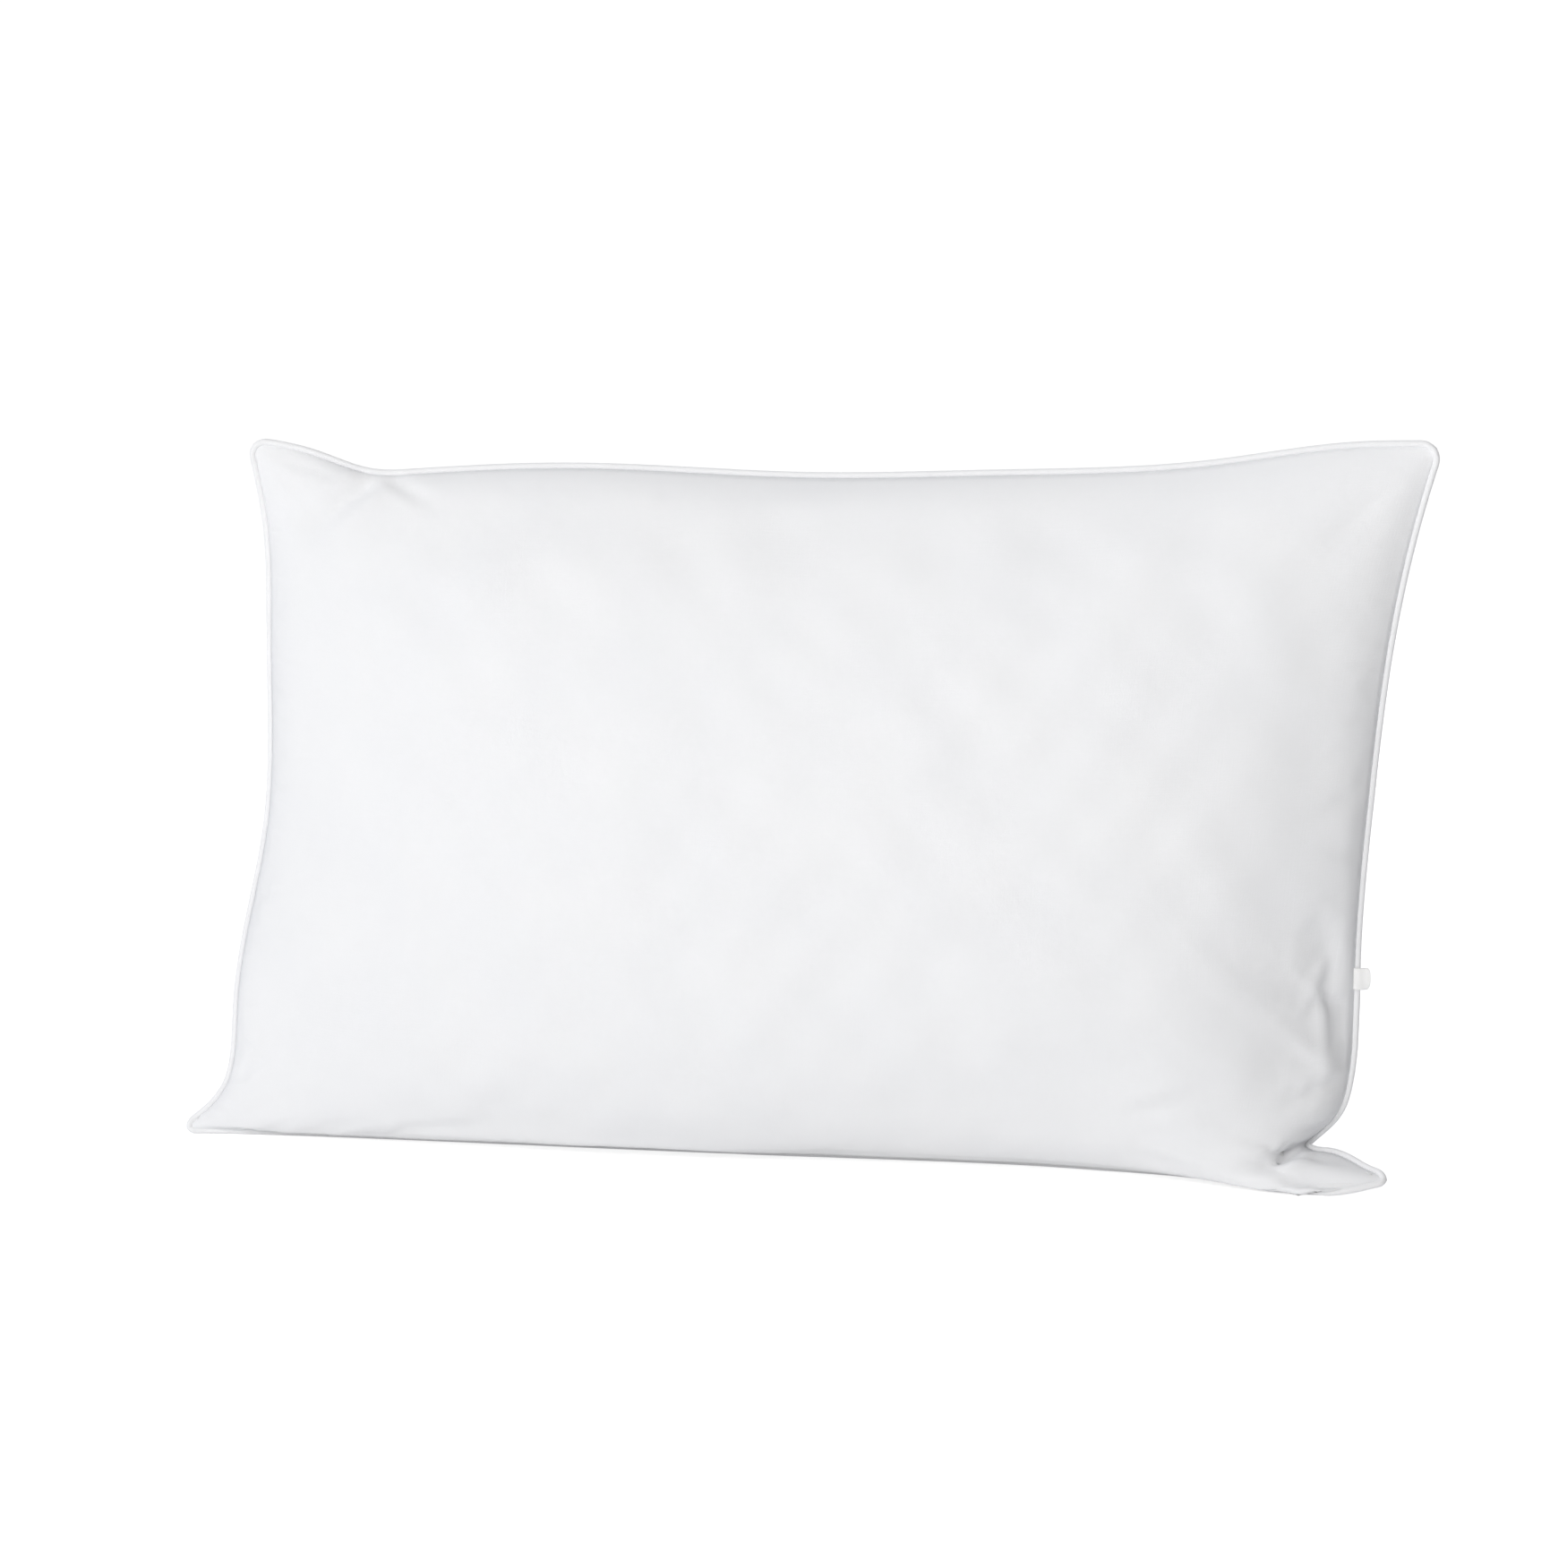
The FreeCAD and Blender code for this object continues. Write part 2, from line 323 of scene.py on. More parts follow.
class Bench:
    """Node tree of one material, with a single way to add a node."""

    def __init__(self, tree: bpy.types.NodeTree) -> None:
        """Start on a cleared tree."""
        self.tree = tree
        tree.nodes.clear()

    def node(self, kind: str, settings: dict[str, object] | None = None,
             inputs: dict[object, object] | None = None, output: object = 0) -> Maths:
        """Add a node, set it up and link it.

        Args:
            kind: Blender's type name of the node.
            settings: Properties to set first; "stops" are the stops of a colour ramp.
            inputs: Values, or wrapped sockets to link, by input name or number.
            output: Name or number of the output wanted.

        Returns:
            The output, wrapped.
        """
        made = self.tree.nodes.new(kind)
        for key, value in (settings or {}).items():
            if key == "stops":
                for stop, (place, shade) in zip(self._stops(made, len(value)), value):
                    stop.position = place
                    stop.color = shade
            else:
                setattr(made, key, value)
        for key, value in (inputs or {}).items():
            if isinstance(value, Maths):
                self.tree.links.new(value.socket, made.inputs[key])
            else:
                made.inputs[key].default_value = value
        return Maths(self, made.outputs[output])

    def surface(self, shader: Maths) -> None:
        """Send a shader to the material's output."""
        end = self.tree.nodes.new("ShaderNodeOutputMaterial")
        self.tree.links.new(shader.socket, end.inputs["Surface"])

    @staticmethod
    def _stops(ramp: bpy.types.Node, count: int) -> list[bpy.types.ColorRampElement]:
        """The stops of a ramp, as many as asked for.

        Args:
            ramp: Colour ramp node.
            count: How many stops it needs.

        Returns:
            All its stops.
        """
        stops = ramp.color_ramp.elements
        while len(stops) < count:
            stops.new(0.5)
        return list(stops)

    def place(self) -> Maths:
        """Coordinates on the object, in metres."""
        return self.node("ShaderNodeTexCoord", output="Object")

    def split(self, place: Maths) -> list[Maths]:
        """The three coordinates of a place, one by one."""
        parts = self.node("ShaderNodeSeparateXYZ", {}, {0: place})
        return [Maths(self, output) for output in parts.socket.node.outputs]

    def noise(self, place: Maths, scale: float, detail: float = 2.0) -> Maths:
        """Soft noise from 0 to 1, with so many lumps to the unit of its coordinates."""
        inputs = {"Vector": place, "Scale": scale, "Detail": detail}
        return self.node("ShaderNodeTexNoise", {"noise_dimensions": "3D"}, inputs)

    def stretch(self, place: Maths, scale: tuple[float, float, float]) -> Maths:
        """Coordinates scaled by axis."""
        return self.node("ShaderNodeMapping", {}, {"Vector": place, "Scale": scale})

    def blend(self, share: Maths, first: object, second: object) -> Maths:
        """Colour that goes from first to second with the share."""
        settings = {"data_type": "RGBA", "blend_type": "MIX"}
        return self.node("ShaderNodeMix", settings, {0: share, 6: first, 7: second}, 2)


@dataclass(frozen=True)
class Finish:
    """What every finish has: a name, a shade, a roughness and how much fuzz it shows."""

    name: str
    shade: tuple[float, float, float]
    roughness: float = 0.85
    fuzz: float = 0.15

    def relief(self, bench: Bench) -> tuple[Maths, float, float]:
        """Height of the surface's texture, its depth in metres and its strength."""
        place = bench.place()
        return bench.noise(place, 900.0, 3.0), 0.0001, 0.5

    def tint(self, bench: Bench) -> Maths:
        """Colour, with the faint unevenness of the real stuff.

        Args:
            bench: Node tree to add to.

        Returns:
            The colour.
        """
        place = bench.place()
        darker = tuple(0.96 * part for part in self.shade)
        return bench.blend(bench.noise(place, 60.0), (*darker, 1.0), (*self.shade, 1.0))

    def made(self) -> bpy.types.Material:
        """The material of this finish, built once.

        Returns:
            The material, the same one at each call.
        """
        known = bpy.data.materials.get(self.name)
        if known:
            return known
        material = bpy.data.materials.new(self.name)
        material.use_nodes = True
        material.diffuse_color = (*self.shade, 1.0)
        bench = Bench(material.node_tree)
        height, depth, strength = self.relief(bench)
        bump = bench.node("ShaderNodeBump", {}, {"Strength": strength, "Distance": depth, "Height": height})
        inputs = {
            "Base Color": self.tint(bench),
            "Roughness": self.roughness,
            "Sheen Weight": self.fuzz,
            "Sheen Roughness": 0.5,
            "Specular IOR Level": 0.1,
            "Normal": bump,
        }
        bench.surface(bench.node("ShaderNodeBsdfPrincipled", {}, inputs))
        return material


@dataclass(frozen=True)
class Ticking(Finish):
    """Closely woven cotton: a plain weave with slubs, and a faint painted shade of the filling's lumps."""

    thread: float = 0.00055
    # depth of the painted shade of the filling's lumps
    mottle: float = 0.035

    def relief(self, bench: Bench) -> tuple[Maths, float, float]:
        """Over-and-under waves of warp and weft, with long thin slubs both ways.

        Args:
            bench: Node tree to add to.

        Returns:
            Height, depth in metres and strength.
        """
        cloth = bench.node("ShaderNodeUVMap", {"uv_map": "cloth"})
        across, up, _ = bench.split(cloth)
        turn = 2.0 * math.pi / self.thread
        warp, weft = across * turn, up * turn
        weave = warp.wave() * weft.wave()
        slubs = bench.noise(bench.stretch(cloth, (900.0, 35.0, 1.0)), 1.0, 3.0)
        picks = bench.noise(bench.stretch(cloth, (35.0, 900.0, 1.0)), 1.0, 3.0)
        crush = bench.noise(cloth, 130.0, 4.0)
        return weave * 0.12 + slubs * 0.35 + picks * 0.35 + crush * 0.9, 0.00035, 0.45

    def tint(self, bench: Bench) -> Maths:
        """White with a slightly greyer, bluer patch here and there: painted shade of the filling's lumps.

        Args:
            bench: Node tree to add to.

        Returns:
            The colour.
        """
        place = bench.place()
        # painted shade: greyer, bluer patches about 6 cm across stand in for the shade over the filling's
        # lumps
        share = bench.noise(place, 16.0, 4.0) * 1.6 - 0.3
        loss = (self.mottle, 0.9 * self.mottle, 0.7 * self.mottle)
        lump_shade = tuple(part * (1.0 - less) for part, less in zip(self.shade, loss))
        return bench.blend(share, (*lump_shade, 1.0), (*self.shade, 1.0))


@dataclass(frozen=True)
class Twisted(Finish):
    """Yarn or cord: fine fibres that run round it on a slant."""

    pitch: float = 0.0012

    def relief(self, bench: Bench) -> tuple[Maths, float, float]:
        """Slanting waves across the strand, broken up by noise.

        Args:
            bench: Node tree to add to.

        Returns:
            Height, depth in metres and strength.
        """
        place = bench.place()
        across, _, up = bench.split(bench.stretch(place, (1.0, 1.3, 0.9)))
        wave = ((across + up) * (2.0 * math.pi / self.pitch)).wave()
        return wave * 0.3 + bench.noise(place, 1500.0, 3.0), 0.0002, 0.6


@dataclass(frozen=True)
class Satin(Finish):
    """Woven label ribbon: close ribs along its width and a slight gloss."""

    rib: float = 0.0006

    def relief(self, bench: Bench) -> tuple[Maths, float, float]:
        """Even ribs, stacked up the ribbon.

        Args:
            bench: Node tree to add to.

        Returns:
            Height, depth in metres and strength.
        """
        place = bench.place()
        up = bench.split(place)[2]
        return (up * (2.0 * math.pi / self.rib)).wave() * 0.5 + bench.noise(place, 1200.0), 0.0001, 0.4


@dataclass(frozen=True)
class Wadding(Finish):
    """Curled polyester fibre: tangled strands over soft tufts."""

    def relief(self, bench: Bench) -> tuple[Maths, float, float]:
        """Tufts with fine strands on them.

        Args:
            bench: Node tree to add to.

        Returns:
            Height, depth in metres and strength.
        """
        place = bench.place()
        strands = bench.noise(bench.stretch(place, (500.0, 260.0, 700.0)), 1.0, 6.0)
        return bench.noise(place, 45.0, 3.0) * 2.0 + strands, 0.004, 0.8


TICKING = Ticking("white_ticking", (0.90, 0.905, 0.92), 0.88, 0.03)
PIPING_CLOTH = Finish("piping_cloth", (0.90, 0.905, 0.92), 0.85, 0.04)
CORD_YARN = Twisted("filler_cord_yarn", (0.88, 0.87, 0.84), 0.9, 0.2)
SEWING_THREAD = Twisted("sewing_thread", (0.93, 0.93, 0.93), 0.6, 0.1, 0.0006)
FIBRE = Wadding("fibre_wadding", (0.94, 0.94, 0.94), 0.95, 0.3)
LABEL_RIBBON = Satin("label_satin", (0.95, 0.95, 0.95), 0.45, 0.05)


# ---------------------------------------------------------------- the pillow


@dataclass
class SeamLine:
    """Where the seam runs: four smooth sides that meet at the ears, in millimetres.

    The top sags between its two ears, the lower edge lies on the floor, and both ends pull in.
    """

    bottom: Points = (
        (-378, -6, 5), (-330, -2, 2), (-240, 0, 2), (0, 0, 2), (200, -6, 2), (268, -26, 2), (318, -44, 4),
        (353, -34, 11),
    )
    top: Points = (
        (-328, 0, 421), (-290, 0, 414), (-252, 0, 403), (-228, 0, 403), (-130, 0, 407), (0, 0, 403),
        (120, 0, 405), (246, 0, 412), (320, 0, 422), (370, 0, 423),
    )
    left: Points = (
        (-378, -6, 5), (-352, -2, 28), (-343, 0, 80), (-322, 0, 190), (-318, 0, 300), (-319, 0, 370),
        (-328, 0, 421),
    )
    right: Points = (
        (353, -34, 11), (338, -26, 14), (319, -13, 19), (303, -3, 21), (316, 1, 32), (326, 3, 54),
        (328, 3, 110), (330, 0, 160), (336, 0, 235), (343, 0, 300), (356, 0, 370), (370, 0, 423),
    )

    @staticmethod
    def along(points: Points, share: np.ndarray) -> np.ndarray:
        """Natural spline through a side's points, read at shares of its length, in metres.

        Args:
            points: The side's points, in millimetres.
            share: Shares of its length, from 0 to 1.

        Returns:
            One point for each share.
        """
        knots = np.array(points, dtype=float) * MM
        gaps = run_along(knots)
        fine = spline_at(gaps, knots, np.linspace(0.0, gaps[-1], 1500))
        length = run_along(fine)
        return read_line(share * length[-1], length, fine)

    def patch(self, u: np.ndarray, w: np.ndarray) -> np.ndarray:
        """Surface stretched between the four sides.

        It is the blend of bottom and top by w, plus the blend of left and right by u, less the
        blend of the four corners (a Coons patch).

        Args:
            u: Shares of the length from the left, on a grid.
            w: Shares of the height from the bottom, on the same grid.

        Returns:
            Points on the grid, in metres.
        """
        shape = u.shape
        u, w = u.ravel(), w.ravel()
        a, b = u[:, None], w[:, None]
        low, high = self.along(self.bottom, u), self.along(self.top, u)
        left, right = self.along(self.left, w), self.along(self.right, w)
        ends = (self.bottom[0], self.bottom[-1], self.top[0], self.top[-1])
        corners = [np.array(end, dtype=float) * MM for end in ends]
        flat = (1 - a) * (1 - b) * corners[0] + a * (1 - b) * corners[1]
        flat = flat + (1 - a) * b * corners[2] + a * b * corners[3]
        surface = (1 - b) * low + b * high + (1 - a) * left + a * right - flat
        return surface.reshape(*shape, 3)


@dataclass
class Fold:
    """One crease in a panel, from start to end across the flat cloth, in metres."""

    start: tuple[float, float]
    end: tuple[float, float]
    depth: float
    width: float

    def height(self, cloth: np.ndarray) -> np.ndarray:
        """Rise of the cloth: a valley between two low ridges, fading towards both ends.

        Across the crease it is depth * (r^2 - 1) * exp(-r^2 / 1.6), r being the distance in widths.

        Args:
            cloth: Flat coordinates of the panel's points, in metres.

        Returns:
            One height in metres for each point.
        """
        a, b = np.array(self.start), np.array(self.end)
        line = b - a
        length = float(np.linalg.norm(line))
        way = line / length
        offset = cloth - a
        t = offset @ way / length
        across = offset[..., 0] * way[1] - offset[..., 1] * way[0]
        r = across / (self.width * (0.7 + 0.6 * np.clip(t, 0, 1)))
        fade = ease(t / 0.18) * ease((1.0 - t) / 0.7)
        return self.depth * fade * (r**2 - 1.0) * np.exp(-(r**2) / 1.6)


@dataclass
class Case:
    """The two panels of the case and the simulation that blows them up."""

    seam: SeamLine = field(default_factory=SeamLine)
    cut_length: float = 0.730
    cut_height: float = 0.480
    corner: float = 0.012
    loft: float = 0.174
    cell: float = 0.005
    columns: int = 270
    rows: int = 172
    cloth_thickness: float = 0.0008
    easing: float = 0.07
    pressure: float = 15.0
    stretch: float = 200.0
    shear: float = 40.0
    limp: float = 0.03
    firm: float = 3.0
    hold: float = 0.6
    frames: int = 20
    passes: int = 60
    lumps: float = 0.00042
    waves: int = 40
    seed: int = 11

    def cloth(self, columns: int, rows: int) -> np.ndarray:
        """Flat panel as a grid of (along, up) in metres, with its four corners rounded.

        Near a corner the square of side r is drawn onto a quarter disc: x becomes
        x * sqrt(1 - y^2 / 2), and y becomes y * sqrt(1 - x^2 / 2), measured from its inner corner.

        Args:
            columns: Points along the panel.
            rows: Points up the panel.

        Returns:
            Flat coordinates, shaped (columns, rows, 2).
        """
        size = np.array([self.cut_length, self.cut_height])
        u, w = np.meshgrid(np.linspace(0, 1, columns), np.linspace(0, 1, rows), indexing="ij")
        flat = np.stack([u, w], axis=-1) * size
        near = np.minimum(flat, size - flat)
        inner = 1.0 - np.minimum(near / self.corner, 1.0)
        disc = inner * np.sqrt(1.0 - inner[..., ::-1] ** 2 / 2.0)
        tight = (near < self.corner).all(axis=-1, keepdims=True)
        drawn = np.where(tight, self.corner * (1.0 - disc), near)
        return np.where(flat < size / 2.0, drawn, size - drawn)

    def edge(self, cloth: np.ndarray) -> np.ndarray:
        """Distance of each point of the flat cloth from the nearest edge."""
        return np.minimum(cloth, np.array([self.cut_length, self.cut_height]) - cloth).min(axis=-1)

    def start(self, cloth: np.ndarray, side: Side) -> np.ndarray:
        """Plump first shape of one panel.

        The seam's patch is pushed out by half the loft times (1 - |u|^2.6)^0.62 *
        (1 - |w|^2.4)^0.62, fuller low down, and its foot hangs to the floor.

        Args:
            cloth: Flat coordinates of the panel's points.
            side: Face of the case.

        Returns:
            Points of the panel in the frame of the CAD.
        """
        share = cloth / np.array([self.cut_length, self.cut_height])
        patch = self.seam.patch(share[..., 0], share[..., 1])
        u, w = 2.0 * share[..., 0] - 1.0, 2.0 * share[..., 1] - 1.0
        ends = np.maximum(1.0 - np.abs(u) ** 2.6, 0.0) ** 0.62
        crown = ends * np.maximum(1.0 - np.abs(w) ** 2.4, 0.0) ** 0.62 * (1.0 - 0.25 * w)
        depth = crown / crown.max() * self.loft / 2.0
        patch[..., 1] += side.value * depth
        patch[..., 2] -= 0.030 * ends * np.exp(-(w + 1.0) / 0.10) * np.minimum(1.0, depth / 0.02)
        patch[..., 2] = np.maximum(patch[..., 2], 0.0015)
        return patch

    def numbering(self, columns: int, rows: int) -> tuple[np.ndarray, np.ndarray, np.ndarray]:
        """Vertex numbers of two grids that share their rim.

        Args:
            columns: Points along a panel.
            rows: Points up a panel.

        Returns:
            The numbers of the front and of the back, and a mask of the points inside the rim.
        """
        front = np.arange(columns * rows).reshape(columns, rows)
        inner = np.zeros((columns, rows), dtype=bool)
        inner[1:-1, 1:-1] = True
        back = front.copy()
        back[inner] = columns * rows + np.arange(inner.sum())
        return front, back, inner

    def simulate(self) -> dict[Side, np.ndarray]:
        """Blow up the flat panels inside the held seam, over the floor.

        Returns:
            One grid of points for each side, on the simulation's own cells.
        """
        columns = round(self.cut_length / self.cell) + 1
        rows = round(self.cut_height / self.cell) + 1
        cloth = self.cloth(columns, rows)
        front, back, inner = self.numbering(columns, rows)
        grids = {side: self.start(cloth, side) for side in Side}
        points = np.concatenate([grids[Side.FRONT].reshape(-1, 3), grids[Side.BACK][inner]])
        ease_in = 1.0 + self.easing * np.clip((cloth[..., 0] / self.cut_length - 0.55) / 0.45, 0, 1) ** 2
        up = (cloth[..., 1] - self.cut_height / 2.0) * ease_in + 0.25
        flat = np.stack([cloth[..., 0] - self.cut_length / 2.0, np.zeros_like(up), up], axis=-1)
        rest = np.concatenate([flat.reshape(-1, 3), flat[inner]])
        quads = np.concatenate([grid_quads(front), grid_quads(back)[:, ::-1]])
        mesh = bpy.data.meshes.new("blown_case")
        mesh.from_pydata(points.tolist(), [], quads.tolist())
        balloon = bpy.data.objects.new("blown_case", mesh)
        ground = self._ground()
        for thing in (balloon, ground):
            bpy.context.scene.collection.objects.link(thing)
        balloon.shape_key_add(name="Basis")
        cut = balloon.shape_key_add(name="Cut")
        cut.data.foreach_set("co", rest.astype(np.float32).ravel())
        self._groups(balloon, cloth, front, inner)
        self._weave(balloon, cut)
        co = self._run(balloon, len(points))
        for thing in (balloon, ground):
            bpy.data.objects.remove(thing)
        return {Side.FRONT: co[front], Side.BACK: co[back]}

    @staticmethod
    def _ground() -> bpy.types.Object:
        """Flat square that the cloth can't pass.

        Returns:
            The square, not yet in the scene.
        """
        mesh = bpy.data.meshes.new("ground")
        mesh.from_pydata([(-1, -1, 0), (1, -1, 0), (1, 1, 0), (-1, 1, 0)], [], [(0, 1, 2, 3)])
        ground = bpy.data.objects.new("ground", mesh)
        ground.modifiers.new("stop", "COLLISION")
        ground.collision.thickness_outer = 0.002
        ground.collision.cloth_friction = 20.0
        return ground

    def _groups(self, balloon: bpy.types.Object, cloth: np.ndarray, front: np.ndarray,
                inner: np.ndarray) -> None:
        """Hold the seam softly and the ears' tips firmly, and keep the cloth limp only at the right end.

        Args:
            balloon: The case to be blown up.
            cloth: Flat coordinates of a panel's points.
            front: Vertex numbers of the front panel.
            inner: Mask of the points inside the rim.
        """
        held = balloon.vertex_groups.new(name="held")
        held.add(rim_of(front).tolist(), self.hold, "REPLACE")
        held.add([int(k) for k in front[[0, 0, -1, -1], [0, -1, 0, -1]]], 1.0, "REPLACE")
        firm = balloon.vertex_groups.new(name="firm")
        weight = 1.0 - ease((cloth[..., 0] / self.cut_length - 0.60) / 0.25)
        level = np.round(20.0 * np.concatenate([weight.ravel(), weight[inner]])).astype(int)
        for step in range(21):
            firm.add(np.flatnonzero(level == step).tolist(), step / 20.0, "REPLACE")

    def _weave(self, balloon: bpy.types.Object, cut: bpy.types.ShapeKey) -> None:
        """Give the balloon its Cloth modifier.

        Args:
            balloon: The case to be blown up.
            cut: Shape key of the flat panels, the cloth's rest shape.
        """
        modifier = balloon.modifiers.new("cloth", "CLOTH")
        cloth = modifier.settings
        cloth.quality = 6
        cloth.mass = 0.3
        cloth.tension_stiffness = cloth.compression_stiffness = self.stretch
        cloth.shear_stiffness = self.shear
        cloth.bending_model = "ANGULAR"
        cloth.bending_stiffness = self.limp
        cloth.tension_damping = cloth.compression_damping = cloth.shear_damping = 5.0
        cloth.bending_damping = 0.5
        cloth.air_damping = 4.0
        cloth.vertex_group_mass = "held"
        cloth.pin_stiffness = 1.0
        cloth.rest_shape_key = cut
        cloth.vertex_group_bending = "firm"
        cloth.bending_stiffness_max = self.firm
        cloth.use_pressure = True
        cloth.uniform_pressure_force = self.pressure
        cloth.effector_weights.gravity = 0.0
        modifier.collision_settings.distance_min = 0.002
        modifier.collision_settings.use_self_collision = False
        modifier.point_cache.frame_start = 1
        modifier.point_cache.frame_end = self.frames

    def _run(self, balloon: bpy.types.Object, count: int) -> np.ndarray:
        """Step through the frames and read where the cloth ends up.

        Args:
            balloon: The case to be blown up.
            count: Number of its vertices.

        Returns:
            Its vertices at the last frame.
        """
        scene = bpy.context.scene
        for step in range(1, self.frames + 1):
            scene.frame_set(step)
        moved = balloon.evaluated_get(bpy.context.evaluated_depsgraph_get())
        co = np.empty(count * 3, dtype=np.float32)
        moved.data.vertices.foreach_get("co", co)
        scene.frame_set(1)
        return co.reshape(-1, 3).astype(float)

    def calm(self, grid: np.ndarray, cloth: np.ndarray) -> np.ndarray:
        """Take the long tension creases out of the panel, where the filling holds it smooth.

        Points move towards a wide running mean of their neighbours, by a share that is 0 at the
        seam, 1 over most of the panel and a little less over the limp right end.

        Args:
            grid: Blown points of one panel.
            cloth: Flat coordinates of the same points.

        Returns:
            The calmed points.
        """
        soft = grid.copy()
        for _ in range(self.passes):
            soft[1:-1, 1:-1] = (soft[:-2, 1:-1] + soft[2:, 1:-1] + soft[1:-1, :-2] + soft[1:-1, 2:]) / 4.0
        edge = self.edge(cloth)
        limp = ease((cloth[..., 0] / self.cut_length - 0.62) / 0.2)
        share = ease(edge / 0.055) * (1.0 - 0.15 * limp)
        return grid + (soft - grid) * share[..., None]

    def folds(self, side: Side) -> list[Fold]:
        """Puckers along both ends and the larger folds at the ears, drawn in a fixed random order.

        Args:
            side: Face of the case; only the front has the larger folds.

        Returns:
            The folds.
        """
        draw = np.random.default_rng(self.seed + int(side.value))
        made = []
        for up in np.arange(0.030, 0.40, 0.0215):
            at = up + draw.uniform(-0.009, 0.009)
            reach = draw.uniform(0.012, 0.055) * (1.0 if at < 0.24 else 0.7)
            tilt = draw.uniform(-0.75, 0.55)
            depth = draw.uniform(0.0003, 0.0019) * (1.0 if at < 0.22 else 0.5)
            start = (self.cut_length - 0.002, at)
            end = (start[0] - reach, at + tilt * reach)
            made.append(Fold(start, end, depth, draw.uniform(0.0032, 0.0075)))
        for up in np.arange(0.03, 0.44, 0.024):
            at = up + draw.uniform(-0.006, 0.006)
            reach = draw.uniform(0.014, 0.034)
            tilt = draw.uniform(-0.3, 0.3)
            depth = draw.uniform(0.0004, 0.0009)
            end = (reach, at + tilt * reach)
            made.append(Fold((0.002, at), end, depth, draw.uniform(0.0035, 0.0055)))
        if side is Side.FRONT:
            made.append(Fold((0.086, 0.480), (0.022, 0.415), 0.0036, 0.0080))
            made.append(Fold((0.088, 0.480), (0.132, 0.452), 0.0016, 0.0060))
            made.append(Fold((0.729, 0.064), (0.655, 0.040), 0.0045, 0.0085))
            made.append(Fold((0.590, 0.090), (0.668, 0.112), 0.0010, 0.0085))
        return made

    def mounds(self, cloth: np.ndarray, side: Side) -> np.ndarray:
        """Soft unevenness of the filling: the sum of plane waves, 35 to 150 mm long, all ways round.

        Args:
            cloth: Flat coordinates of the panel's points.
            side: Face of the case, which has its own random draws.

        Returns:
            One height for each point, with a spread of about 1.
        """
        draw = np.random.default_rng(self.seed + 100 + int(side.value))
        heading = np.linspace(0.0, np.pi, self.waves, endpoint=False) + draw.uniform(-0.04, 0.04, self.waves)
        turns = 2.0 * np.pi / draw.permutation(np.geomspace(0.035, 0.150, self.waves))
        start = draw.uniform(0.0, 2.0 * np.pi, self.waves)
        waves = cloth[..., :1] * np.cos(heading) * turns + cloth[..., 1:] * np.sin(heading) * turns + start
        return np.cos(waves).sum(axis=-1) / math.sqrt(self.waves / 2.0)

    def settle(self, grid: np.ndarray, cloth: np.ndarray, side: Side) -> np.ndarray:
        """Set the blown shape on the floor and draw its back in.

        What the back stands out beyond 0.3 of half the loft is drawn in to 0.86 of it, the foot
        sinks by up to 7 mm, and the two rims part by 1.2 mm for the piping's tails.  A point that
        would pass the floor, or come nearer to it than the piping allows beside the seam, is
        eased onto it.

        Args:
            grid: Points of one panel.
            cloth: Flat coordinates of the same points.
            side: Face of the case.

        Returns:
            The settled points.
        """
        settled = grid.copy()
        y = settled[..., 1]
        most = self.loft / 2.0
        settled[..., 1] = np.where(y > most * 0.3, most * 0.3 + (y - most * 0.3) * 0.86, y)
        edge = self.edge(cloth)
        settled[..., 2] -= (0.003 + 0.004 * ease(edge / 0.04)) * np.exp(-settled[..., 2] / 0.024)
        settled[..., 1] += side.value * 0.0006 * np.exp(-((edge / 0.004) ** 2))
        least = 0.0003 + 0.0015 * np.exp(-((edge / 0.006) ** 2))
        above = settled[..., 2] - least
        settled[..., 2] = least + 0.5 * (above + np.sqrt(above**2 + 0.0006**2))
        return settled

    def faces(self) -> tuple[np.ndarray, dict[Side, np.ndarray]]:
        """Fine outer surfaces of both panels.

        Returns:
            The flat cloth's coordinates, and one grid of points for each side.
        """
        blown = self.simulate()
        coarse = self.cloth(*blown[Side.FRONT].shape[:2])
        fine = self.cloth(self.columns, self.rows)
        edge = self.edge(fine)
        shown = {}
        for side, grid in blown.items():
            surface = refine(self.calm(grid, coarse), self.columns, self.rows)
            out = grid_normals(surface) * -side.value
            rise = self.lumps * self.mounds(fine, side) * ease(edge / 0.05)
            rise = rise + sum(fold.height(fine) for fold in self.folds(side)) * ease(edge / 0.004)
            shown[side] = self.settle(surface + out * rise[..., None], fine, side)
        return fine, shown

    def panel(self, side: Side, cloth: np.ndarray, grid: np.ndarray) -> bpy.types.Object:
        """One panel as a closed sheet.

        It is the outer grid, the same grid moved in by the cloth's thickness along its normals,
        and a strip round the rim.

        Args:
            side: Face of the case.
            cloth: Flat coordinates of the panel's points.
            grid: Outer points of the panel.

        Returns:
            The finished piece.
        """
        inward = grid_normals(grid) * side.value
        wall = grid + inward * self.cloth_thickness
        wall[..., 2] = np.maximum(wall[..., 2], grid[..., 2].clip(max=0.001))
        count = self.columns * self.rows
        index = np.arange(count).reshape(self.columns, self.rows)
        outer, inner = grid_quads(index), grid_quads(index + count)[:, ::-1]
        strip = join_rims(rim_of(index), rim_of(index) + count)[:, ::-1]
        points = np.concatenate([grid.reshape(-1, 3), wall.reshape(-1, 3)])
        flat = np.concatenate([cloth.reshape(-1, 2)] * 2)
        piece = solid(f"{side.name.lower()}_cloth", points, np.concatenate([outer, inner, strip]), flat)
        piece.data.materials.append(TICKING.made())
        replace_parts(piece, f"{side.name.lower()}_panel")
        return piece


